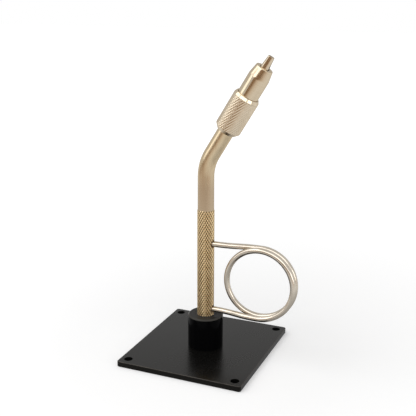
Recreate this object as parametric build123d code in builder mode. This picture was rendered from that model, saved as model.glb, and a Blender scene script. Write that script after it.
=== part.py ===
# Fly tying vise: a bent hand vise with a wire finger ring, standing in a pedestal base.
# Millimetres, +Z up. The origin is the middle of the base plate's underside, and the head leans towards +X.

import os
from math import ceil, cos, pi, radians, sin, sqrt, tan

from build123d import *

# Base plate
plate_x = 76.2
plate_y = 83.1
plate_t = 3.35
plate_corner_r = 1.5
plate_edge_break = 0.3
corner_hole_d = 5.0
corner_hole_inset = 5.1

# Pedestal socket
socket_d = 21.0
socket_h = 19.9
socket_floor = 6.5
socket_rim_chamfer = 0.8
socket_mouth_chamfer = 0.3

# Countersunk screw that holds the socket from below
screw_d = 5.0
screw_head_d = 9.6
screw_head_angle = 90
screw_head_sink = 0.2
screw_reach = 5.5
screw_key_w = 3.0
screw_key_depth = 1.8
tap_spare = 0.5

# Liner of the socket
bush_wall = 0.9
bush_edge_break = 0.2

# Stem: knurled handle, bend, neck, threaded end and spigot
stem_d = 9.525
knurl_d = 10.0
knurl_top_z = 87.7
stem_foot_chamfer = 0.8
bend_z = 114.55
bend_r = 26.0
lean = 31.4
thread_end_s = 36.0
thread_end_chamfer = 0.4
spigot_end_s = 50.0
spigot_bore_d = 5.2
spigot_bore_floor_s = 38.5

# Finger ring
ring_wire_d = 3.4
ring_r = 20.35
ring_mid_z = 47.1
ring_reach = 33.8
ring_turns = 1.5
ring_turn_gap = 0.8
ring_seat = 5.5
ring_leg_straight = 1.0

# Knurled sleeve, by stations along the head's axis from the bend
sleeve_d = 15.15
sleeve_back_s = 23.0
sleeve_front_s = 47.0
sleeve_back_d = 11.5
sleeve_back_chamfer = 2.3
sleeve_front_d = 13.4
sleeve_front_chamfer = 1.6
sleeve_floor_s = 37.5

# Closing nose
nose_d = 12.1
nose_taper_s = 58.6
nose_mouth_s = 64.6
nose_mouth_d = 9.9
nose_rim_r = 0.35
nose_seat_gap = 0.1

# Snap ring between sleeve and nose
snap_s = 45.0
snap_wire_w = 0.9
snap_arc = 325

# Jaws
jaw_tip_s = 71.7
jaw_tip_d = 3.0
jaw_cone_half_angle = 9.0
jaw_body_d = 7.5
jaw_body_gap = 0.4
spigot_over_jaws = 0.25
jaw_tail_d = 4.6
jaw_tail_s = 39.2
jaw_gap = 0.45
jaw_grip = 4.7
jaw_relief = 0.5
jaw_tip_round = 0.25

# Pin on which the jaws rock, and the nose's travel over its ends
pin_d = 1.6
pin_s = 42.0
pin_end_r = 5.3
nose_back_travel = 1.0

# Spring that opens the jaws
spring_s = 46.6
spring_d = 2.0
spring_wire_d = 0.3
spring_turns = 2.5
spring_pocket_depth = 1.0

# Clearances
running_fit = 0.05
press_fit = 0.02
screw_fit = 0.05
groove_fit = 0.08
seat_gap = 0.05
cone_gap = 0.2
slot_gap = 0.12
spring_fit = 0.12
overrun = 1.0

# Places worked out from the sizes above
half_turn = 180
stem_r = stem_d / 2
knurl_r = knurl_d / 2
spigot_r = jaw_body_d / 2 + spigot_over_jaws
socket_top_z = plate_t + socket_h
socket_floor_z = plate_t + socket_floor
stem_foot_z = socket_floor_z + seat_gap
bush_bore_r = knurl_r + running_fit
bush_r = bush_bore_r + bush_wall
socket_bore_r = bush_r + running_fit
bend_run = bend_r * tan(radians(lean / 2))
bend_start_z = bend_z - bend_run
jaw_taper = tan(radians(jaw_cone_half_angle))
ring_pitch = ring_wire_d + ring_turn_gap

# The head's own frame: X lies in the bend's plane, Y is the part's Y, Z runs out along the head
head_origin = Vector(0, 0, bend_z)
head_dir = Vector(sin(radians(lean)), 0, cos(radians(lean)))
head_across = Vector(cos(radians(lean)), 0, -sin(radians(lean)))
head = Plane(origin=head_origin, x_dir=head_across, z_dir=head_dir)
head_axis = Axis(head_origin, head_dir)
# A half section of the head, drawn as radius and station
head_section = Plane(origin=head_origin, x_dir=head_across, z_dir=(0, -1, 0))
# The face that looks along the pin, drawn as Y and station
pin_face = Plane(origin=head_origin, x_dir=(0, 1, 0), z_dir=head_across)


def cone_r(station):
    """Radius of the jaws' closing cone at a station of the head."""
    return jaw_tip_d / 2 + (jaw_tip_s - station) * jaw_taper


def biarc(start, start_tangent, end, end_tangent):
    """Two tangent arcs that join two points along the given directions, on the line being built."""
    chord = end - start
    both = start_tangent + end_tangent
    spread = 2 * (1 - start_tangent.dot(end_tangent))
    along = chord.dot(both)
    reach = (sqrt(along**2 + spread * chord.dot(chord)) - along) / spread
    joint = (start + end + (start_tangent - end_tangent) * reach) / 2
    joint_tangent = (end - end_tangent * reach) - (start + start_tangent * reach)
    TangentArc(start, joint, tangent=start_tangent)
    TangentArc(joint, end, tangent=joint_tangent.normalized())


def coil_point(centre, across, up, along, radius, pitch, turn):
    """Point of a coil after some turns. It starts at up, turns towards across and climbs along."""
    angle = 2 * pi * turn
    return centre + across * (radius * sin(angle)) + up * (radius * cos(angle)) + along * (pitch * turn)


def coil_tangent(across, up, along, radius, pitch, turn):
    """Direction of that coil at the same place."""
    angle = 2 * pi * turn
    way = across * (radius * cos(angle)) - up * (radius * sin(angle)) + along * (pitch / (2 * pi))
    return way.normalized()


def least_gap(path, wire_d, samples=240):
    """Least gap of a swept wire to itself, measured between points of its centre line."""
    points = [path.position_at(i / samples) for i in range(samples + 1)]
    step = path.length / samples
    apart = ceil(pi * wire_d / step)
    pairs = ((a, b) for a in range(samples + 1) for b in range(a + apart, samples + 1))
    return min((points[a] - points[b]).length for a, b in pairs) - wire_d


# Base plate
with BuildPart() as base_plate:
    with BuildSketch():
        RectangleRounded(plate_x, plate_y, plate_corner_r)
    extrude(amount=plate_t)
    chamfer(base_plate.faces().filter_by(Axis.Z).edges(), plate_edge_break)
    with GridLocations(plate_x - 2 * corner_hole_inset, plate_y - 2 * corner_hole_inset, 2, 2):
        Hole(corner_hole_d / 2)
    with Locations(Location((0, 0, 0), (half_turn, 0, 0))):
        CounterSinkHole(
            radius=screw_d / 2 + screw_fit,
            counter_sink_radius=screw_head_d / 2 + screw_head_sink + screw_fit,
            counter_sink_angle=screw_head_angle,
        )

# Pedestal socket
with BuildPart() as pedestal_socket:
    with BuildSketch(Plane.XY.offset(plate_t)):
        Circle(socket_d / 2)
    extrude(amount=socket_h)
    chamfer(pedestal_socket.edges().sort_by(Axis.Z)[-1], socket_rim_chamfer)
    with Locations((0, 0, socket_top_z)):
        Hole(socket_bore_r, depth=socket_h - socket_floor)
    chamfer(pedestal_socket.edges().group_by(Axis.Z)[-1].sort_by(SortBy.RADIUS)[0], socket_mouth_chamfer)
    with Locations(Location((0, 0, plate_t), (half_turn, 0, 0))):
        Hole(screw_d / 2 + screw_fit, depth=screw_reach + tap_spare)

# Screw under the plate
screw_cone_h = (screw_head_d - screw_d) / 2 / tan(radians(screw_head_angle / 2))
screw_end_z = plate_t + screw_reach
with BuildPart() as socket_screw:
    with BuildSketch(Plane.XZ):
        with BuildLine():
            Polyline(
                (0, screw_head_sink),
                (screw_head_d / 2, screw_head_sink),
                (screw_d / 2, screw_head_sink + screw_cone_h),
                (screw_d / 2, screw_end_z),
                (0, screw_end_z),
                close=True,
            )
        make_face()
    revolve(axis=Axis.Z)
    with BuildSketch(Plane.XY.offset(screw_head_sink)):
        RegularPolygon(screw_key_w / 2, side_count=6, major_radius=False)
    extrude(amount=screw_key_depth, mode=Mode.SUBTRACT)

# Liner of the socket
with BuildPart() as socket_bush:
    with BuildSketch(Plane.XY.offset(socket_floor_z)):
        Circle(bush_r)
        Circle(bush_bore_r, mode=Mode.SUBTRACT)
    extrude(amount=socket_h - socket_floor)
    chamfer(socket_bush.edges().group_by(Axis.Z)[-1], bush_edge_break)

# Stem
with BuildPart() as stem:
    with BuildLine(Plane.XZ) as stem_line:
        Line((0, knurl_top_z), (0, bend_start_z))
        JernArc(start=(0, bend_start_z), tangent=(0, 1), radius=bend_r, arc_size=-lean)
        Line(
            (bend_run * sin(radians(lean)), bend_z + bend_run * cos(radians(lean))),
            (thread_end_s * sin(radians(lean)), bend_z + thread_end_s * cos(radians(lean))),
        )
    with BuildSketch(Plane.XY.offset(knurl_top_z)):
        Circle(stem_r)
    sweep(path=stem_line.wires()[0])
    chamfer(stem.edges().sort_by(head_axis)[-1], thread_end_chamfer)
    with BuildSketch(Plane.XZ):
        with BuildLine():
            Polyline(
                (0, stem_foot_z),
                (knurl_r - stem_foot_chamfer, stem_foot_z),
                (knurl_r, stem_foot_z + stem_foot_chamfer),
                (knurl_r, knurl_top_z - (knurl_r - stem_r)),
                (stem_r, knurl_top_z),
                (0, knurl_top_z),
                close=True,
            )
        make_face()
    revolve(axis=Axis.Z)
    with BuildSketch(head.offset(thread_end_s - overrun)):
        Circle(spigot_r)
    extrude(amount=spigot_end_s - thread_end_s + overrun)
    with BuildSketch(head.offset(spigot_bore_floor_s)):
        Circle(spigot_bore_d / 2)
    extrude(amount=spigot_end_s - spigot_bore_floor_s, mode=Mode.SUBTRACT)
    with BuildSketch(pin_face):
        with Locations((0, pin_s)):
            Circle(pin_d / 2 + press_fit)
    extrude(amount=stem_d, both=True, mode=Mode.SUBTRACT)
    with BuildSketch(Plane.YZ.offset(knurl_r - ring_seat)):
        with Locations((0, ring_mid_z - ring_r), (0, ring_mid_z + ring_r)):
            Circle(ring_wire_d / 2 + press_fit)
    extrude(amount=knurl_d, mode=Mode.SUBTRACT)

# Finger ring: from the upper hole round the loop and back to the lower hole
ring_centre = Vector(ring_reach, ring_turns / 2 * ring_pitch, ring_mid_z)
ring_frame = (Vector(1, 0, 0), Vector(0, 0, 1), Vector(0, -1, 0), ring_r, ring_pitch)
ring_halves = [i / 2 for i in range(round(ring_turns * 2) + 1)]
ring_points = [coil_point(ring_centre, *ring_frame, turn) for turn in ring_halves]
ring_tangents = [coil_tangent(*ring_frame, turn) for turn in ring_halves]
leg_out = Vector(1, 0, 0)
leg_start_x = knurl_r + ring_leg_straight
leg_end_x = knurl_r - ring_seat
with BuildPart() as finger_ring:
    with BuildLine() as ring_line:
        Line((leg_end_x, 0, ring_mid_z + ring_r), (leg_start_x, 0, ring_mid_z + ring_r))
        biarc(Vector(leg_start_x, 0, ring_mid_z + ring_r), leg_out, ring_points[0], ring_tangents[0])
        for i in range(len(ring_halves) - 1):
            biarc(ring_points[i], ring_tangents[i], ring_points[i + 1], ring_tangents[i + 1])
        biarc(ring_points[-1], ring_tangents[-1], Vector(leg_start_x, 0, ring_mid_z - ring_r), -leg_out)
        Line((leg_start_x, 0, ring_mid_z - ring_r), (leg_end_x, 0, ring_mid_z - ring_r))
    with BuildSketch(Plane.YZ.offset(leg_end_x)):
        with Locations((0, ring_mid_z + ring_r)):
            Circle(ring_wire_d / 2)
    sweep(path=ring_line.wires()[0])
print("finger ring, least gap to itself:", round(least_gap(ring_line.wires()[0], ring_wire_d), 2))

# Knurled sleeve: threaded on the stem at the back, bored for the nose at the front
sleeve_r = sleeve_d / 2
nose_r = nose_d / 2
snap_groove_w = snap_wire_w + groove_fit
snap_mid_r = nose_r + running_fit / 2
snap_inner_r = snap_mid_r - snap_wire_w / 2 - groove_fit
snap_outer_r = snap_mid_r + snap_wire_w / 2 + groove_fit
with BuildPart() as knurled_sleeve:
    with BuildSketch(head_section):
        with BuildLine():
            Polyline(
                (stem_r + running_fit, sleeve_back_s),
                (sleeve_back_d / 2, sleeve_back_s),
                (sleeve_r, sleeve_back_s + sleeve_back_chamfer),
                (sleeve_r, sleeve_front_s - sleeve_front_chamfer),
                (sleeve_front_d / 2, sleeve_front_s),
                (nose_r + running_fit, sleeve_front_s),
                (nose_r + running_fit, sleeve_floor_s),
                (stem_r + running_fit, sleeve_floor_s),
                close=True,
            )
        make_face()
        with Locations((nose_r, snap_s)):
            Rectangle(
                snap_outer_r - nose_r,
                snap_groove_w,
                align=(Align.MIN, Align.CENTER),
                mode=Mode.SUBTRACT,
            )
    revolve(axis=head_axis)

# Closing nose: slides on the spigot, its inner cone squeezes the jaws
nose_back_s = sleeve_floor_s + nose_seat_gap
nose_bore_r = spigot_r + running_fit
nose_cone_back_s = jaw_tip_s - (nose_bore_r - cone_gap - jaw_tip_d / 2) / jaw_taper
pin_slot_w = pin_d + 2 * slot_gap
pin_slot_end_s = pin_s + nose_back_travel + pin_d / 2 + slot_gap
with BuildPart() as closing_nose:
    with BuildSketch(head_section):
        with BuildLine():
            Polyline(
                (nose_bore_r, nose_back_s),
                (nose_r, nose_back_s),
                (nose_r, nose_taper_s),
                (nose_mouth_d / 2, nose_mouth_s),
                (cone_r(nose_mouth_s) + cone_gap, nose_mouth_s),
                (nose_bore_r, nose_cone_back_s),
                close=True,
            )
        make_face()
        with Locations((nose_r, snap_s)):
            Rectangle(
                nose_r - snap_inner_r,
                snap_groove_w,
                align=(Align.MAX, Align.CENTER),
                mode=Mode.SUBTRACT,
            )
    revolve(axis=head_axis)
    fillet(closing_nose.edges().group_by(head_axis)[-1].sort_by(SortBy.RADIUS)[-1], nose_rim_r)
    with BuildSketch(pin_face):
        with Locations((0, nose_back_s - overrun)):
            Rectangle(
                pin_slot_w,
                pin_slot_end_s - nose_back_s + overrun,
                align=(Align.CENTER, Align.MIN),
            )
    extrude(amount=nose_d, both=True, mode=Mode.SUBTRACT)

# Snap ring
with BuildPart() as snap_ring:
    with BuildSketch(head_section):
        with Locations((snap_mid_r, snap_s)):
            Rectangle(snap_wire_w, snap_wire_w)
    revolve(axis=head_axis, revolution_arc=snap_arc)

# Pin through the spigot
with BuildPart() as jaw_pin:
    with BuildSketch(pin_face):
        with Locations((0, pin_s)):
            Circle(pin_d / 2)
    extrude(amount=pin_end_r, both=True)

# Jaws
jaw_shoulder_s = spigot_end_s + jaw_body_gap
jaw_cone_s = jaw_tip_s - (jaw_body_d - jaw_tip_d) / 2 / jaw_taper
jaw_relief_end_s = jaw_tip_s - jaw_grip


def build_jaw(side):
    """One half of the split jaw: -1 is the half towards -Y, 1 the half towards +Y."""
    split_face = Plane(
        origin=head_origin + Vector(0, side * jaw_gap / 2, 0),
        x_dir=head_across * -side,
        z_dir=(0, side, 0),
    )
    with BuildPart() as jaw:
        with BuildSketch(head_section):
            with BuildLine():
                Polyline(
                    (0, jaw_tail_s),
                    (jaw_tail_d / 2, jaw_tail_s),
                    (jaw_tail_d / 2, jaw_shoulder_s),
                    (jaw_body_d / 2, jaw_shoulder_s),
                    (jaw_body_d / 2, jaw_cone_s),
                    (jaw_tip_d / 2, jaw_tip_s),
                    (0, jaw_tip_s),
                    close=True,
                )
            make_face()
        revolve(axis=head_axis)
        fillet(jaw.edges().sort_by(head_axis)[-1], jaw_tip_round)
        split(bisect_by=split_face, keep=Keep.TOP)
        with BuildSketch(pin_face):
            with Locations((side * jaw_gap / 2, jaw_shoulder_s)):
                Rectangle(
                    2 * jaw_relief,
                    jaw_relief_end_s - jaw_shoulder_s,
                    align=(Align.CENTER, Align.MIN),
                )
            with Locations((0, pin_s)):
                Circle(pin_d / 2 + running_fit)
        extrude(amount=jaw_body_d, both=True, mode=Mode.SUBTRACT)
        with BuildSketch(split_face):
            with Locations((0, spring_s)):
                Circle(spring_d / 2 + spring_fit)
        extrude(amount=spring_pocket_depth, mode=Mode.SUBTRACT)
    return jaw


jaw_front = build_jaw(-1)
jaw_back = build_jaw(1)

# Spring between the jaws, coiled along Y
spring_mid_r = (spring_d - spring_wire_d) / 2
spring_length = jaw_gap + 2 * (spring_pocket_depth - spring_fit) - spring_wire_d
spring_pitch = spring_length / spring_turns
spring_centre = head_origin + head_dir * spring_s + Vector(0, -spring_length / 2, 0)
spring_frame = (head_across, head_dir, Vector(0, 1, 0), spring_mid_r, spring_pitch)
spring_halves = [i / 2 for i in range(round(spring_turns * 2) + 1)]
spring_points = [coil_point(spring_centre, *spring_frame, turn) for turn in spring_halves]
spring_tangents = [coil_tangent(*spring_frame, turn) for turn in spring_halves]
with BuildPart() as jaw_spring:
    with BuildLine() as spring_line:
        for i in range(len(spring_halves) - 1):
            biarc(spring_points[i], spring_tangents[i], spring_points[i + 1], spring_tangents[i + 1])
    with BuildSketch(Plane(origin=spring_points[0], z_dir=spring_tangents[0])):
        Circle(spring_wire_d / 2)
    sweep(path=spring_line.wires()[0])
print("jaw spring, least gap to itself:", round(least_gap(spring_line.wires()[0], spring_wire_d), 2))

# Labels and files, one per piece
pieces = {
    "base_plate": base_plate,
    "pedestal_socket": pedestal_socket,
    "socket_screw": socket_screw,
    "socket_bush": socket_bush,
    "stem": stem,
    "finger_ring": finger_ring,
    "knurled_sleeve": knurled_sleeve,
    "closing_nose": closing_nose,
    "snap_ring": snap_ring,
    "jaw_pin": jaw_pin,
    "jaw_front": jaw_front,
    "jaw_back": jaw_back,
    "jaw_spring": jaw_spring,
}
os.makedirs("parts", exist_ok=True)
for name, piece in pieces.items():
    piece.part.label = name
    export_step(piece.part, f"parts/{name}.step")
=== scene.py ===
from math import atan2, cos, pi, radians, sin, tan

import bmesh
import bpy
from mathutils import Matrix, Vector


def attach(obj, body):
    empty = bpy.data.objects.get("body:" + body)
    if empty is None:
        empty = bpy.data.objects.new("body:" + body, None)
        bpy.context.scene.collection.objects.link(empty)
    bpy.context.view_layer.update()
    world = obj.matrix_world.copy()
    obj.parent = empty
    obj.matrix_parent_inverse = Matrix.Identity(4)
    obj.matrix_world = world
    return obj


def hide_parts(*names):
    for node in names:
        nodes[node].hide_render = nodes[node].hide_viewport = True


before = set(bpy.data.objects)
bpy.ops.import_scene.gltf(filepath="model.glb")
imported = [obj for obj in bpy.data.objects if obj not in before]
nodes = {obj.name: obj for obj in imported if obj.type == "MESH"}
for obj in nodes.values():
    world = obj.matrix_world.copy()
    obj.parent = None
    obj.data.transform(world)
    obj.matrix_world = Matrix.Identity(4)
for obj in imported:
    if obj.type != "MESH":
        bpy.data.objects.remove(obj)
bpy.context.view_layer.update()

mm = 0.001

# Sizes that the dressed pieces share with the solids, in metres. Places along the head count from the bend
plate_half_x, plate_half_y = 38.1 * mm, 41.55 * mm
stem_r = 4.7625 * mm
stem_foot = 9.9 * mm
handle_crest_r = 5.0 * mm
handle_foot_chamfer = 0.8 * mm
handle_top = 87.7 * mm
ring_mid_z, ring_r = 47.1 * mm, 20.35 * mm
ring_hole_depth = 5.5 * mm
bend_z = 114.55 * mm
bend_r = 26.0 * mm
lean = radians(31.4)
bend_run = bend_r * tan(lean / 2)
neck_end = 20.0 * mm
sleeve_crest_r = 7.575 * mm
sleeve_back, sleeve_front = 23.0 * mm, 47.0 * mm
sleeve_bore_r, sleeve_nose_bore_r = 4.8125 * mm, 6.1 * mm
sleeve_bore_step = 37.5 * mm
sleeve_back_shoulder, sleeve_front_shoulder = 25.3 * mm, 45.4 * mm
nose_shoulder = 58.6 * mm
nose_mouth = 64.6 * mm
jaw_tip = 71.7 * mm
jaw_cone_tip_r = 1.5 * mm
jaw_cone_angle = radians(9)

# Knurl, chamfer and holes of the handle
handle_knurl_depth = 0.28 * mm
handle_diamonds_round = 20
handle_groove_angle = radians(30)
handle_inset_share = 0.5
handle_overrun = 1 * mm
handle_clear = 0.2 * mm
handle_top_chamfer = 0.5 * mm
ring_hole_r = 1.72 * mm
ring_countersink = 0.75 * mm
ring_hole_steps = 64
hole_dark_start, hole_dark_stop = ring_hole_r + 0.4 * mm, ring_hole_r + 1.1 * mm

# Facets of the rod and its bend
rod_steps, bend_steps = 96, 32

# Knurl, collar and eased ends of the sleeve
sleeve_rising_depth, sleeve_falling_depth = 0.12 * mm, 0.06 * mm
sleeve_diamonds_round = 36
sleeve_groove_angle = radians(27)
sleeve_knurl_steps = 8
sleeve_overrun = 0.7 * mm
sleeve_clear_r, sleeve_clear = 7.8 * mm, 0.3 * mm
sleeve_back_r, sleeve_back_ease_r, sleeve_back_ease = 5.6 * mm, 5.75 * mm, 0.06 * mm
sleeve_front_r, sleeve_front_ease_r, sleeve_front_ease = 6.6 * mm, 6.75 * mm, 0.1 * mm
collar_back = 44.9 * mm
collar_bore_r = 3.0 * mm
collar_ease = 0.3 * mm
collar_overrun = 1 * mm
collar_polish_run = 0.4 * mm

# Eased shoulder of the nose
nose_ease, nose_ease_steps = 0.5 * mm, 4
nose_bore_clear_r = 5.5 * mm
shoulder_reach = 0.05 * mm

# Ground free ends of the jaws
jaw_neck = 62.6 * mm
jaw_mouth_r, jaw_tip_r = 2.48 * mm, 1.8 * mm
jaw_tip_trim = 0.2 * mm
jaw_flat_depth = 0.2 * mm
jaw_flat_back, jaw_flat_over = 7.4 * mm, 1.0 * mm

# Tolerances of the modelling, in metres, and the sharpest edges that are shaded smooth, in degrees
merge_gap = 1e-6
level_gap = 1e-7
plain_crease, worked_crease = 30, 20

# The head's own frame: its Z runs out along the head from the bend
head = Matrix.Translation((0, 0, bend_z)) @ Matrix.Rotation(lean, 4, "Y")
from_head = head.inverted()
head_dir = Vector((sin(lean), 0, cos(lean)))


# Modelling
def select_only(piece):
    """Selects one piece alone and makes it the active one."""
    bpy.ops.object.select_all(action="DESELECT")
    piece.select_set(True)
    bpy.context.view_layer.objects.active = piece


def start_edit(piece):
    """Opens one piece alone for modelling."""
    select_only(piece)
    bpy.ops.object.mode_set(mode="EDIT")


def end_edit():
    """Closes the open piece."""
    bpy.ops.object.mode_set(mode="OBJECT")


def pick(piece, kind, wanted):
    """Selects the edges or faces of the open piece that pass a test."""
    bpy.ops.mesh.select_mode(type=kind)
    bpy.ops.mesh.select_all(action="DESELECT")
    shell = bmesh.from_edit_mesh(piece.data)
    group = {"EDGE": shell.edges, "FACE": shell.faces}[kind]
    for part in group:
        if wanted(part):
            part.select_set(True)
    bmesh.update_edit_mesh(piece.data)


def close_up(piece):
    """Merges doubles, fills open ends and turns every face outwards."""
    start_edit(piece)
    bpy.ops.mesh.select_all(action="SELECT")
    bpy.ops.mesh.remove_doubles(threshold=merge_gap)
    bpy.ops.mesh.fill_holes(sides=0)
    bpy.ops.mesh.select_all(action="SELECT")
    bpy.ops.mesh.normals_make_consistent(inside=False)
    end_edit()


def use_modifier(piece, kind, **settings):
    """Adds a modifier to a piece and applies it."""
    select_only(piece)
    modifier = piece.modifiers.new(kind.lower(), kind)
    for setting, value in settings.items():
        setattr(modifier, setting, value)
    bpy.ops.object.modifier_apply(modifier=modifier.name)


def work_with(piece, operation, tool):
    """Trims, cuts or joins a piece by another shell, which is used up."""
    use_modifier(piece, "BOOLEAN", operation=operation, solver="EXACT", object=tool)
    bpy.data.objects.remove(tool)


def smooth(piece, crease=plain_crease):
    """Shades a piece smooth, apart from its sharp edges."""
    select_only(piece)
    bpy.ops.object.shade_smooth_by_angle(angle=radians(crease))


def join(piece, other):
    """Makes one piece of two shells."""
    select_only(piece)
    other.select_set(True)
    bpy.ops.object.join()


def to_head(piece):
    """Takes a piece that was modelled upright on the origin to its place along the head."""
    select_only(piece)
    piece.matrix_world = head
    bpy.ops.object.transform_apply(location=True, rotation=True, scale=True)


def copy_of_node(node, name):
    """A merged copy of a CAD node's mesh, free to be worked on."""
    piece = bpy.data.objects.new(name, nodes[node].data.copy())
    bpy.context.scene.collection.objects.link(piece)
    start_edit(piece)
    bpy.ops.mesh.select_all(action="SELECT")
    bpy.ops.mesh.customdata_custom_splitnormals_clear()
    bpy.ops.mesh.remove_doubles(threshold=merge_gap)
    end_edit()
    return piece


def ring_of_edges(name, steps, radius, height):
    """A level ring, from which a shell is drawn up."""
    bpy.ops.object.select_all(action="DESELECT")
    bpy.ops.mesh.primitive_circle_add(vertices=steps, radius=radius, location=(0, 0, height))
    ring = bpy.context.object
    ring.name = name
    bpy.ops.object.transform_apply(location=True)
    return ring


def open_tube(name, steps, radius, foot, top):
    """An upright tube with open ends."""
    bpy.ops.object.select_all(action="DESELECT")
    bpy.ops.mesh.primitive_cylinder_add(
        vertices=steps,
        radius=radius,
        depth=top - foot,
        end_fill_type="NOTHING",
        location=(0, 0, (foot + top) / 2),
    )
    tube = bpy.context.object
    tube.name = name
    bpy.ops.object.transform_apply(location=True)
    return tube


def rise(edge):
    """How far an edge climbs."""
    return abs(edge.verts[0].co.z - edge.verts[1].co.z)


def spread(edge):
    """How far an edge goes sideways."""
    return (edge.verts[0].co.xy - edge.verts[1].co.xy).length


def turned(name, outline, steps=128):
    """A turned shell: a ring is drawn up and scaled from corner to corner of its half outline."""
    first_r, first_z = outline[0]
    piece = ring_of_edges(name, steps, first_r, first_z)
    start_edit(piece)
    bpy.ops.mesh.select_all(action="SELECT")
    for (last_r, last_z), (next_r, next_z) in zip(outline, outline[1:]):
        bpy.ops.mesh.extrude_edges_move(TRANSFORM_OT_translate={"value": (0, 0, next_z - last_z)})
        grow = next_r / last_r
        bpy.ops.transform.resize(value=(grow, grow, 1), center_override=(0, 0, next_z))
    end_edit()
    close_up(piece)
    return piece


def knurled_bar(name, crest_r, depth, foot, top, diamonds_round, groove_angle, inset_share):
    """A bar with a raised diamond knurl, and the height of its rows.

    Quads are poked, their own edges dissolved, and each diamond that is left is raised.
    """
    root_r = crest_r - depth
    wide = 2 * pi * root_r / diamonds_round
    tall = wide / tan(groove_angle)
    rows = round((top - foot) / tall)
    piece = open_tube(name, diamonds_round, root_r, foot, top)
    start_edit(piece)
    pick(piece, "EDGE", lambda edge: rise(edge) > tall)
    bpy.ops.mesh.subdivide(number_cuts=rows - 1)
    bpy.ops.mesh.select_mode(type="FACE")
    bpy.ops.mesh.select_all(action="SELECT")
    bpy.ops.mesh.poke()

    def is_quad_edge(edge):
        return not edge.is_boundary and (rise(edge) < level_gap or spread(edge) < level_gap)

    pick(piece, "EDGE", is_quad_edge)
    bpy.ops.mesh.dissolve_edges(use_verts=False)
    end_edit()
    use_modifier(
        piece, "CAST", cast_type="CYLINDER", factor=1.0, use_radius_as_size=False, size=root_r, use_z=False
    )
    start_edit(piece)
    pick(piece, "FACE", lambda face: len(face.verts) == 4)
    side = ((wide / 2) ** 2 + (tall / 2) ** 2) ** 0.5
    inner_r = wide * tall / 4 / side
    bpy.ops.mesh.inset(thickness=inner_r * inset_share, depth=depth, use_individual=True)
    end_edit()
    close_up(piece)
    return piece, (top - foot) / rows


def pressed_bar(name, crest_r, rising_depth, falling_depth, foot, top, diamonds_round, groove_angle, steps):
    """A bar whose knurl is two crossing sets of rounded grooves, each pressed in to its own depth."""
    rows = round((top - foot) * tan(groove_angle) * diamonds_round / (2 * pi * crest_r))
    row = (top - foot) / rows
    piece = open_tube(name, diamonds_round * steps, crest_r, foot, top)
    start_edit(piece)
    pick(piece, "EDGE", lambda edge: rise(edge) > row)
    bpy.ops.mesh.subdivide(number_cuts=rows * steps - 1)
    shell = bmesh.from_edit_mesh(piece.data)
    for corner in shell.verts:
        turn = atan2(corner.co.y, corner.co.x) * diamonds_round
        climb = (corner.co.z - foot) / row * 2 * pi
        rising = rising_depth * (1 - cos(turn - climb)) / 2
        falling = falling_depth * (1 - cos(turn + climb)) / 2
        corner.co.xy = corner.co.xy * (1 - (rising + falling) / crest_r)
    bmesh.update_edit_mesh(piece.data)
    end_edit()
    close_up(piece)
    return piece


# Knurled handle of the stem, with the countersunk holes of the ring's ends
handle_knurl_foot = stem_foot - handle_overrun
handle, handle_row = knurled_bar(
    "stem_handle",
    handle_crest_r,
    handle_knurl_depth,
    handle_knurl_foot,
    handle_top + handle_overrun,
    handle_diamonds_round,
    handle_groove_angle,
    handle_inset_share,
)
handle_blank = turned(
    "handle_blank",
    [
        (handle_crest_r - handle_foot_chamfer, stem_foot),
        (handle_crest_r, stem_foot + handle_foot_chamfer),
        (handle_crest_r + handle_clear, stem_foot + handle_foot_chamfer + handle_clear),
        (handle_crest_r + handle_clear, handle_top - handle_top_chamfer),
        (stem_r, handle_top),
    ],
)
work_with(handle, "INTERSECT", handle_blank)
for hole_z in (ring_mid_z - ring_r, ring_mid_z + ring_r):
    ring_hole = turned(
        "ring_hole",
        [
            (ring_hole_r, handle_crest_r - ring_hole_depth),
            (ring_hole_r, handle_crest_r - ring_countersink),
            (ring_hole_r + 2 * ring_countersink, handle_crest_r + ring_countersink),
        ],
        ring_hole_steps,
    )
    ring_hole.matrix_world = Matrix.Translation((0, 0, hole_z)) @ Matrix.Rotation(pi / 2, 4, "Y")
    work_with(handle, "DIFFERENCE", ring_hole)
close_up(handle)
smooth(handle, worked_crease)
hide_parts("stem")
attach(handle, "stem")

# Plain rod, bend and neck, with the threaded end and spigot kept from the solid
bend_foot = bend_z - bend_run
rod = ring_of_edges("stem_rod", rod_steps, stem_r, handle_top)
start_edit(rod)
bpy.ops.mesh.select_all(action="SELECT")
bpy.ops.mesh.extrude_edges_move(TRANSFORM_OT_translate={"value": (0, 0, bend_foot - handle_top)})
bpy.ops.mesh.spin(steps=bend_steps, angle=lean, center=(bend_r, 0, bend_foot), axis=(0, -1, 0))
bpy.ops.mesh.extrude_edges_move(TRANSFORM_OT_translate={"value": head_dir * (neck_end - bend_run)})
end_edit()
close_up(rod)
spigot = copy_of_node("stem", "stem_spigot")
start_edit(spigot)
bpy.ops.mesh.select_all(action="SELECT")
bpy.ops.mesh.bisect(
    plane_co=head @ Vector((0, 0, neck_end)), plane_no=head_dir, clear_inner=True, use_fill=True
)
end_edit()
join(rod, spigot)
smooth(rod)
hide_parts("stem")
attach(rod, "stem")

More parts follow.
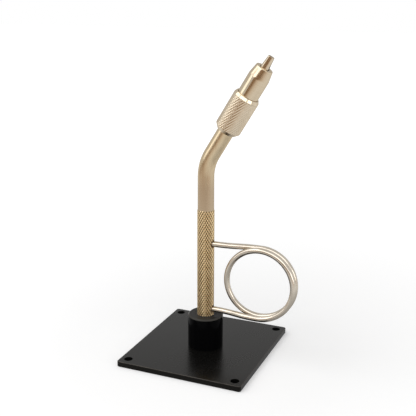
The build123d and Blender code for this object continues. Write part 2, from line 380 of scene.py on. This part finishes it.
# Knurled sleeve: a collar is joined to the knurl, and both are trimmed to the sleeve's outline and bores
sleeve = pressed_bar(
    "sleeve_knurled",
    sleeve_crest_r,
    sleeve_rising_depth,
    sleeve_falling_depth,
    sleeve_back - sleeve_overrun,
    sleeve_front + sleeve_overrun,
    sleeve_diamonds_round,
    sleeve_groove_angle,
    sleeve_knurl_steps,
)
collar = turned(
    "sleeve_collar",
    [
        (collar_bore_r, collar_back),
        (sleeve_crest_r - sleeve_rising_depth, collar_back),
        (sleeve_crest_r, collar_back + collar_ease),
        (sleeve_crest_r, sleeve_front + collar_overrun),
        (collar_bore_r, sleeve_front + collar_overrun),
        (collar_bore_r, collar_back),
    ],
)
work_with(sleeve, "UNION", collar)
sleeve_blank = turned(
    "sleeve_blank",
    [
        (sleeve_bore_r, sleeve_back),
        (sleeve_back_r, sleeve_back),
        (sleeve_back_ease_r, sleeve_back + sleeve_back_ease),
        (sleeve_crest_r, sleeve_back_shoulder),
        (sleeve_clear_r, sleeve_back_shoulder + sleeve_clear),
        (sleeve_clear_r, sleeve_front_shoulder - sleeve_clear),
        (sleeve_crest_r, sleeve_front_shoulder),
        (sleeve_front_ease_r, sleeve_front - sleeve_front_ease),
        (sleeve_front_r, sleeve_front),
        (sleeve_nose_bore_r, sleeve_front),
        (sleeve_nose_bore_r, sleeve_bore_step),
        (sleeve_bore_r, sleeve_bore_step),
        (sleeve_bore_r, sleeve_back),
    ],
)
work_with(sleeve, "INTERSECT", sleeve_blank)
close_up(sleeve)
to_head(sleeve)
smooth(sleeve, worked_crease)
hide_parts("knurled_sleeve")
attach(sleeve, "sleeve")


# Nose with its shoulder eased
def on_shoulder(corner):
    """Tells whether a corner of the nose lies on its outer shoulder."""
    place = from_head @ corner.co
    return abs(place.z - nose_shoulder) < shoulder_reach and place.xy.length > nose_bore_clear_r


nose = copy_of_node("closing_nose", "nose_polished")
start_edit(nose)
bpy.ops.mesh.select_all(action="SELECT")
bpy.ops.mesh.tris_convert_to_quads()
pick(nose, "EDGE", lambda edge: all(on_shoulder(corner) for corner in edge.verts))
bpy.ops.mesh.bevel(offset=nose_ease, segments=nose_ease_steps, profile=0.5)
end_edit()
smooth(nose)
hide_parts("closing_nose")
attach(nose, "nose")


# Jaws with their free ends ground
def cone_radius(station):
    """Radius of the jaws' closing cone, as the solid has it."""
    return jaw_cone_tip_r + (jaw_tip - station) * tan(jaw_cone_angle)


def ground_radius(station):
    """Radius of the jaws' free end: drawn in to the nose's mouth, then nearly straight."""
    if station < nose_mouth:
        drawn_in = (station - jaw_neck) / (nose_mouth - jaw_neck)
        return cone_radius(station) + (jaw_mouth_r - cone_radius(nose_mouth)) * drawn_in
    outward = (station - nose_mouth) / (jaw_tip - nose_mouth)
    return jaw_mouth_r + (jaw_tip_r - jaw_mouth_r) * outward


def grind_flat(jaw, side):
    """Grinds a flat along the outer face of a jaw's free end."""
    slope = side * atan2(jaw_mouth_r - jaw_tip_r, jaw_tip - nose_mouth)
    tall = jaw_flat_back + jaw_flat_over
    bpy.ops.object.select_all(action="DESELECT")
    bpy.ops.mesh.primitive_cube_add(size=tall)
    wheel = bpy.context.object
    at_tip = Matrix.Translation((0, side * (jaw_tip_r - jaw_flat_depth), jaw_tip))
    against = Matrix.Translation((0, side * tall / 2, tall / 2 - jaw_flat_back))
    wheel.matrix_world = head @ at_tip @ Matrix.Rotation(slope, 4, "X") @ against
    work_with(jaw, "DIFFERENCE", wheel)


def ground_jaw(node, name, body, side):
    """A jaw with its free end ground slimmer at the nose's mouth, blunter at the tip and flat outside."""
    jaw = copy_of_node(node, name)
    start_edit(jaw)
    for cut in (jaw_neck, (jaw_neck + nose_mouth) / 2, nose_mouth):
        bpy.ops.mesh.select_all(action="SELECT")
        bpy.ops.mesh.bisect(plane_co=head @ Vector((0, 0, cut)), plane_no=head_dir)
    shell = bmesh.from_edit_mesh(jaw.data)
    for corner in shell.verts:
        place = from_head @ corner.co
        if place.z > jaw_neck:
            place.xy = place.xy * (ground_radius(place.z) / cone_radius(place.z))
            place.z -= jaw_tip_trim * (place.z - jaw_neck) / (jaw_tip - jaw_neck)
            corner.co = head @ place
    bmesh.update_edit_mesh(jaw.data)
    end_edit()
    grind_flat(jaw, side)
    smooth(jaw, worked_crease)
    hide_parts(node)
    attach(jaw, body)
    return jaw


front_jaw = ground_jaw("jaw_front", "jaw_front_ground", "front_jaw", -1)
back_jaw = ground_jaw("jaw_back", "jaw_back_ground", "back_jaw", 1)

# Colour that metal takes at a grazing angle
metal_edge_tint = (0.72, 0.69, 0.65, 1)


# Materials
def finish_of(name, color, metallic, rough, spec=0.5):
    """A principled finish to build a surface on, with its node tree and shader."""
    finish = bpy.data.materials.new(name)
    finish.use_nodes = True
    tree = finish.node_tree
    shader = tree.nodes["Principled BSDF"]
    shader.inputs["Base Color"].default_value = (*color, 1)
    shader.inputs["Metallic"].default_value = metallic
    shader.inputs["Roughness"].default_value = rough
    shader.inputs["Specular IOR Level"].default_value = spec
    if metallic:
        shader.inputs["Specular Tint"].default_value = metal_edge_tint
    return finish, tree, shader


def coordinates(tree, scale=(1, 1, 1), turn=(0, 0, 0), shift=(0, 0, 0)):
    """Object coordinates, turned, moved and stretched for a pattern."""
    place = tree.nodes.new("ShaderNodeTexCoord")
    mapping = tree.nodes.new("ShaderNodeMapping")
    mapping.inputs["Rotation"].default_value = turn
    mapping.inputs["Location"].default_value = shift
    tree.links.new(place.outputs["Object"], mapping.inputs["Vector"])
    stretch = tree.nodes.new("ShaderNodeVectorMath")
    stretch.operation = "MULTIPLY"
    stretch.inputs[1].default_value = scale
    tree.links.new(mapping.outputs["Vector"], stretch.inputs[0])
    return stretch.outputs["Vector"]


def along_head(tree, scale=(1, 1, 1)):
    """Coordinates of the head's own frame."""
    return coordinates(tree, scale, (0, -lean, 0), (sin(lean) * bend_z, 0, -cos(lean) * bend_z))


def axes(tree, vector):
    """The X, Y and Z of a vector."""
    parts = tree.nodes.new("ShaderNodeSeparateXYZ")
    tree.links.new(vector, parts.inputs["Vector"])
    return parts.outputs


def noise(tree, vector, scale, detail=3.0, roughness=0.5):
    """A noise texture's value."""
    texture = tree.nodes.new("ShaderNodeTexNoise")
    texture.inputs["Scale"].default_value = scale
    texture.inputs["Detail"].default_value = detail
    texture.inputs["Roughness"].default_value = roughness
    tree.links.new(vector, texture.inputs["Vector"])
    return texture.outputs["Fac"]


def ramp(tree, value, stops):
    """A colour ramp over a texture value."""
    colors = tree.nodes.new("ShaderNodeValToRGB")
    band = colors.color_ramp
    while len(band.elements) < len(stops):
        band.elements.new(0.5)
    for element, (at, color) in zip(band.elements, stops):
        element.position = at
        element.color = (*color, 1)
    tree.links.new(value, colors.inputs["Fac"])
    return colors.outputs["Color"]


def between(tree, value, first, second, start=0.3, stop=0.7):
    """A colour that goes from a first to a second one with a texture value."""
    return ramp(tree, value, [(start, first), (stop, second)])


def span(tree, value, low, high, start=0.3, stop=0.7):
    """A texture value spread over a range."""
    spread_out = tree.nodes.new("ShaderNodeMapRange")
    spread_out.inputs["From Min"].default_value = start
    spread_out.inputs["From Max"].default_value = stop
    spread_out.inputs["To Min"].default_value = low
    spread_out.inputs["To Max"].default_value = high
    tree.links.new(value, spread_out.inputs["Value"])
    return spread_out.outputs["Result"]


def reckon(tree, operation, first, second=0.0):
    """One step of arithmetic on texture values."""
    step = tree.nodes.new("ShaderNodeMath")
    step.operation = operation
    for socket, value in zip(step.inputs, (first, second)):
        if isinstance(value, (int, float)):
            socket.default_value = value
        else:
            tree.links.new(value, socket)
    return step.outputs["Value"]


def tint(tree, share, first, second):
    """Lays a second colour over a first one by a share."""
    mix = tree.nodes.new("ShaderNodeMix")
    mix.data_type = "RGBA"
    tree.links.new(share, mix.inputs[0])
    for socket, value in ((mix.inputs[6], first), (mix.inputs[7], second)):
        if isinstance(value, tuple):
            socket.default_value = (*value, 1)
        else:
            tree.links.new(value, socket)
    return mix.outputs[2]


def groove_crossings(tree, diamonds_round, foot, row):
    """How near a point of an upright knurl is to a crossing of its grooves, from 0 to 1."""
    place = axes(tree, coordinates(tree))
    turn = reckon(tree, "ARCTAN2", place["X"], place["Y"])
    column = reckon(tree, "MULTIPLY", turn, diamonds_round / 2)
    level = reckon(tree, "MULTIPLY", reckon(tree, "SUBTRACT", place["Z"], foot), pi / row)
    rising = reckon(tree, "COSINE", reckon(tree, "ADD", column, level))
    falling = reckon(tree, "COSINE", reckon(tree, "SUBTRACT", column, level))
    both = reckon(tree, "MULTIPLY", rising, falling)
    return reckon(tree, "ABSOLUTE", both)


def round_ring_holes(tree):
    """A mask of the places round the ring's holes, on the side of the handle that they are in."""
    place = axes(tree, coordinates(tree))
    level = reckon(tree, "ABSOLUTE", reckon(tree, "SUBTRACT", place["Z"], ring_mid_z))
    above = reckon(tree, "POWER", reckon(tree, "SUBTRACT", level, ring_r), 2.0)
    beside = reckon(tree, "POWER", place["Y"], 2.0)
    off_wire = reckon(tree, "SQRT", reckon(tree, "ADD", above, beside))
    near = span(tree, off_wire, 0.85, 0, hole_dark_start, hole_dark_stop)
    return reckon(tree, "MULTIPLY", near, reckon(tree, "GREATER_THAN", place["X"], 0.0))


def facing_up(tree, start, stop):
    """A mask of the faces that look upwards, from the height of their normal."""
    surface = tree.nodes.new("ShaderNodeNewGeometry")
    return span(tree, axes(tree, surface.outputs["True Normal"])["Z"], 0, 1, start, stop)


def level_tops(tree):
    """A mask of the level tops of a piece."""
    return facing_up(tree, 0.85, 0.95)


def top_rims(tree):
    """A mask of the chamfers round the level tops of a piece."""
    return reckon(tree, "SUBTRACT", facing_up(tree, 0.4, 0.6), level_tops(tree))


def bump(tree, shader, value, height, strength):
    """Raises a surface by a texture value."""
    lift = tree.nodes.new("ShaderNodeBump")
    lift.inputs["Distance"].default_value = height
    lift.inputs["Strength"].default_value = strength
    tree.links.new(value, lift.inputs["Height"])
    tree.links.new(lift.outputs["Normal"], shader.inputs["Normal"])


def shade(finish, *pieces):
    """Gives pieces their finish."""
    for piece in pieces:
        piece.data.materials.clear()
        piece.data.materials.append(finish)


# Semi-gloss black enamel of the plate, smeared on its top, with its top chamfers lighter: partly edge wear,
# partly a painted highlight
enamel, tree, shader = finish_of(
    "black_enamel", (0.004, 0.0038, 0.0035), metallic=0.0, rough=0.23, spec=0.19
)
shader.inputs["Specular Tint"].default_value = (1, 0.945, 0.86, 1)
grain = noise(tree, coordinates(tree), 1400, 4, 0.6)
paint = between(tree, grain, (0.003, 0.0029, 0.0026), (0.005, 0.0048, 0.0044))
patchy = span(tree, noise(tree, coordinates(tree), 240, 4), 0.3, 1)
# Lighter patches on the upward chamfers: edge wear plus a painted highlight where the rims catch the light
worn_and_lit_rims = reckon(tree, "MULTIPLY", top_rims(tree), patchy)
tree.links.new(tint(tree, worn_and_lit_rims, paint, (0.06, 0.053, 0.046)), shader.inputs["Base Color"])
smears = noise(tree, coordinates(tree, (1, 0.45, 1), (0, 0, 0.5)), 55, 4)
smeared = span(tree, smears, 0.16, 0.25)
fine = span(tree, grain, 0, 0.06)
tree.links.new(reckon(tree, "ADD", fine, smeared), shader.inputs["Roughness"])
bump(tree, shader, grain, height=0.04 * mm, strength=0.2)

# Glossy black of the socket, with a painted sheen greying its top and a painted highlight lightening its rim
# chamfer
black = (0.0015, 0.0015, 0.0018)
anodised, tree, shader = finish_of("black_anodised", black, metallic=0.0, rough=0.16, spec=0.04)
# Painted sheen: the level top is given a greyer colour than the sides
painted_top_sheen = tint(tree, level_tops(tree), black, (0.028, 0.027, 0.0255))
# Painted highlight: the rim chamfer round the top is given a lighter colour
tree.links.new(tint(tree, top_rims(tree), painted_top_sheen, (0.05, 0.047, 0.042)), shader.inputs["Base Color"])
turning = noise(tree, coordinates(tree, (12, 12, 2600)), 1, 2)
tree.links.new(span(tree, turning, 0.08, 0.15), shader.inputs["Roughness"])
bump(tree, shader, turning, height=0.006 * mm, strength=0.2)

# Plated brass of the rod and neck, darker towards the handle
plated, tree, shader = finish_of("plated_brass", (0.54, 0.435, 0.31), metallic=1.0, rough=0.24)
drawn = noise(tree, coordinates(tree, (900, 900, 14)), 1, 3)
streaks = between(tree, drawn, (0.565, 0.45, 0.295), (0.665, 0.545, 0.37))
dull_end = 100 * mm
# The rod's colour darkens from the bend down towards the handle
lower_darkening = span(tree, axes(tree, coordinates(tree))["Z"], 0.85, 0, dull_end, bend_z)
tree.links.new(tint(tree, lower_darkening, streaks, (0.45, 0.355, 0.25)), shader.inputs["Base Color"])
tree.links.new(span(tree, drawn, 0.19, 0.28), shader.inputs["Roughness"])

# Golden knurl of the handle, with painted shade where its grooves cross, and darker round the ring's holes
golden, tree, shader = finish_of("knurled_brass", (0.6, 0.46, 0.26), metallic=1.0, rough=0.3)
tarnish = noise(tree, coordinates(tree), 420, 4)
worn = between(tree, tarnish, (0.75, 0.555, 0.31), (0.9, 0.7, 0.425))
crossing = groove_crossings(tree, handle_diamonds_round, handle_knurl_foot, handle_row)
# Painted shade: near-black brown laid where the knurl's grooves cross
shaded_crossings = tint(tree, crossing, worn, (0.05, 0.03, 0.006))
# Darker brown round the ring's holes, on the side of the handle that holds them
darkened_round_holes = tint(tree, round_ring_holes(tree), shaded_crossings, (0.1, 0.055, 0.03))
tree.links.new(darkened_round_holes, shader.inputs["Base Color"])
tree.links.new(span(tree, tarnish, 0.25, 0.36), shader.inputs["Roughness"])

# Pale plated knurl of the sleeve, with a brighter polish on its collar
pale, tree, shader = finish_of("sleeve_plate", (0.65, 0.545, 0.41), metallic=1.0, rough=0.17)
tarnish = noise(tree, coordinates(tree), 420, 4)
worn = between(tree, tarnish, (0.61, 0.51, 0.375), (0.7, 0.595, 0.455))
tree.links.new(worn, shader.inputs["Base Color"])
station = axes(tree, along_head(tree))["Z"]
knurled = span(tree, station, 1, 0, collar_back, collar_back + collar_polish_run)
matt = reckon(tree, "MULTIPLY", span(tree, tarnish, 0.05, 0.1), knurled)
tree.links.new(reckon(tree, "ADD", matt, 0.1), shader.inputs["Roughness"])

# Polished plate of the nose
polished, tree, shader = finish_of("nose_plate", (0.61, 0.51, 0.37), metallic=1.0, rough=0.14)
turning = noise(tree, along_head(tree, (30, 30, 3000)), 1, 2)
buffed = between(tree, turning, (0.58, 0.48, 0.345), (0.64, 0.54, 0.4))
tree.links.new(buffed, shader.inputs["Base Color"])
tree.links.new(span(tree, turning, 0.12, 0.17), shader.inputs["Roughness"])

# Hardened jaws
hardened, tree, shader = finish_of("jaw_steel", (0.6, 0.51, 0.38), metallic=1.0, rough=0.16)
ground = noise(tree, along_head(tree, (2200, 2200, 40)), 1, 2)
grey_gold = between(tree, ground, (0.55, 0.46, 0.34), (0.66, 0.57, 0.44))
tree.links.new(grey_gold, shader.inputs["Base Color"])
tree.links.new(span(tree, ground, 0.12, 0.2), shader.inputs["Roughness"])

# Bright nickel of the ring
nickel, tree, shader = finish_of("nickel_wire", (0.58, 0.53, 0.45), metallic=1.0, rough=0.2)
haze = noise(tree, coordinates(tree), 160, 3)
hazy = between(tree, haze, (0.54, 0.485, 0.405), (0.63, 0.57, 0.49))
tree.links.new(hazy, shader.inputs["Base Color"])
tree.links.new(span(tree, haze, 0.17, 0.24), shader.inputs["Roughness"])

# Blackened screw, moulded liner and bright spring wire
blackened, tree, shader = finish_of("blackened_steel", (0.05, 0.05, 0.055), metallic=1.0, rough=0.4)
oxide = noise(tree, coordinates(tree), 900, 4)
tree.links.new(span(tree, oxide, 0.33, 0.48), shader.inputs["Roughness"])
liner, tree, shader = finish_of("liner_plastic", (0.02, 0.02, 0.02), metallic=0.0, rough=0.45, spec=0.2)
moulded = noise(tree, coordinates(tree), 1200, 3)
tree.links.new(span(tree, moulded, 0.4, 0.52), shader.inputs["Roughness"])
bright, tree, shader = finish_of("spring_wire", (0.55, 0.55, 0.55), metallic=1.0, rough=0.25)
drawing = noise(tree, coordinates(tree), 2000, 3)
tree.links.new(span(tree, drawing, 0.2, 0.32), shader.inputs["Roughness"])

shade(enamel, nodes["base_plate"])
shade(anodised, nodes["pedestal_socket"])
shade(blackened, nodes["socket_screw"])
shade(liner, nodes["socket_bush"])
shade(golden, handle)
shade(plated, rod)
shade(pale, sleeve)
shade(polished, nose)
shade(hardened, front_jaw, back_jaw)
shade(nickel, nodes["finger_ring"])
shade(bright, nodes["snap_ring"], nodes["jaw_pin"], nodes["jaw_spring"])

# White paper floor. Metal mirrors it as paper, shaded near the vise, dark under its plate and brown before it
floor_size, floor_drop = 8, 0.2 * mm
lift_near, lift_far = 0.08, 0.7
shade_near, shade_far = 0.05, 0.19
brown_front, brown_back = -0.25, 0.1
brown_reach = 2
brown_stops = [
    (0.1, (1.0, 1.0, 1.0)),
    (0.2, (0.86, 0.77, 0.69)),
    (0.28, (0.7, 0.58, 0.49)),
    (0.43, (0.46, 0.34, 0.25)),
    (0.7, (0.3, 0.21, 0.13)),
]
bpy.ops.object.select_all(action="DESELECT")
bpy.ops.mesh.primitive_plane_add(size=floor_size, location=(0, 0, -floor_drop))
floor = bpy.context.object
floor.name = "studio_floor"
bpy.ops.object.transform_apply(location=True)
paper, tree, shader = finish_of("white_paper", (0.85, 0.85, 0.85), metallic=0.0, rough=0.9, spec=0.1)
path = tree.nodes.new("ShaderNodeLightPath")
measure = tree.nodes.new("ShaderNodeVectorMath")
measure.operation = "LENGTH"
tree.links.new(coordinates(tree), measure.inputs[0])
reach = measure.outputs["Value"]
place = axes(tree, coordinates(tree))
shader.inputs["Emission Color"].default_value = (1, 1, 1, 1)
lifted = span(tree, reach, 0.25, 0.75, lift_near, lift_far)
seen = reckon(tree, "MULTIPLY", path.outputs["Is Camera Ray"], lifted)
tree.links.new(seen, shader.inputs["Emission Strength"])
mirrored = tree.nodes.new("ShaderNodeEmission")
in_front = span(tree, place["Y"], 1, 0, brown_front, brown_back)
outward = ramp(tree, span(tree, reach, 0, 1, 0, brown_reach), brown_stops)
tree.links.new(tint(tree, in_front, (1, 1, 1), outward), mirrored.inputs["Color"])
shaded = span(tree, reach, 0.45, 1, shade_near, shade_far)
past_x = reckon(tree, "GREATER_THAN", reckon(tree, "ABSOLUTE", place["X"]), plate_half_x)
past_y = reckon(tree, "GREATER_THAN", reckon(tree, "ABSOLUTE", place["Y"]), plate_half_y)
uncovered = reckon(tree, "MAXIMUM", past_x, past_y)
tree.links.new(reckon(tree, "MULTIPLY", shaded, uncovered), mirrored.inputs["Strength"])
either = tree.nodes.new("ShaderNodeMixShader")
tree.links.new(path.outputs["Is Glossy Ray"], either.inputs["Fac"])
tree.links.new(shader.outputs["BSDF"], either.inputs[1])
tree.links.new(mirrored.outputs["Emission"], either.inputs[2])
tree.links.new(either.outputs["Shader"], tree.nodes["Material Output"].inputs["Surface"])
floor.data.materials.append(paper)

# Brown card behind the camera, seen only in the metal
card_place = (-0.05, -0.95, 0.17)
card_width, card_height = 1.0, 0.42
card_color = (0.2, 0.13, 0.08)
bpy.ops.mesh.primitive_plane_add(size=1, location=card_place, rotation=(pi / 2, 0, 0))
card = bpy.context.object
card.name = "brown_card"
card.scale = (card_width, card_height, 1)
bpy.ops.object.transform_apply(location=True, rotation=True, scale=True)
brown, tree, shader = finish_of("card_brown", card_color, metallic=0.0, rough=0.9, spec=0.0)
shader.inputs["Emission Color"].default_value = (*card_color, 1)
shader.inputs["Emission Strength"].default_value = 1.0
card.data.materials.append(brown)
card.visible_camera = False
card.visible_diffuse = False
card.visible_shadow = False
card.visible_transmission = False

# White surroundings, softer as a light than as a backdrop
world_light, world_in_metal = 0.45, 0.8
world = bpy.data.worlds.new("studio")
bpy.context.scene.world = world
world.use_nodes = True
tree = world.node_tree
background = tree.nodes["Background"]
background.inputs["Color"].default_value = (1, 1, 1, 1)
path = tree.nodes.new("ShaderNodeLightPath")
seen = reckon(tree, "MAXIMUM", path.outputs["Is Camera Ray"], path.outputs["Is Transmission Ray"])
in_metal = reckon(tree, "MULTIPLY", path.outputs["Is Glossy Ray"], world_in_metal)
shown = reckon(tree, "MAXIMUM", seen, in_metal)
tree.links.new(reckon(tree, "MAXIMUM", shown, world_light), background.inputs["Strength"])

# Soft boxes, in metres and watts
light_aim = Vector((0.01, 0, 0.09))


def soft_light(name, place, size, power):
    """A soft box that faces the vise."""
    bpy.ops.object.light_add(type="AREA", location=place)
    lamp = bpy.context.object
    lamp.name = name
    lamp.data.shape = "RECTANGLE"
    lamp.data.size, lamp.data.size_y = size
    lamp.data.energy = power
    lamp.rotation_euler = (light_aim - Vector(place)).to_track_quat("-Z", "Y").to_euler()


soft_light("left_soft_box", place=(-0.84, -0.43, 0.38), size=(0.4, 0.5), power=0.7)
soft_light("front_soft_box", place=(0.05, -0.9, 0.78), size=(1.8, 0.8), power=6.8)
soft_light("right_soft_box", place=(0.9, -0.4, 0.22), size=(0.6, 0.42), power=1.3)
soft_light("upper_soft_box", place=(-0.67, -0.31, 0.97), size=(0.8, 0.7), power=2.6)

# Camera at the photograph's angle
camera_place = (0.16379, -0.38640, 0.20706)
camera_turn, camera_tilt, camera_roll = radians(22.808), radians(74.239), radians(0.249)
bpy.ops.object.camera_add(location=camera_place)
camera = bpy.context.object
camera.data.lens = 65.55
camera.data.sensor_width = 36
camera.data.clip_start = 0.01
level_view = Matrix.Rotation(camera_turn, 4, "Z") @ Matrix.Rotation(camera_tilt, 4, "X")
camera.rotation_euler = (level_view @ Matrix.Rotation(camera_roll, 4, "Z")).to_euler()
bpy.context.scene.camera = camera
bpy.context.scene.view_settings.view_transform = "Standard"
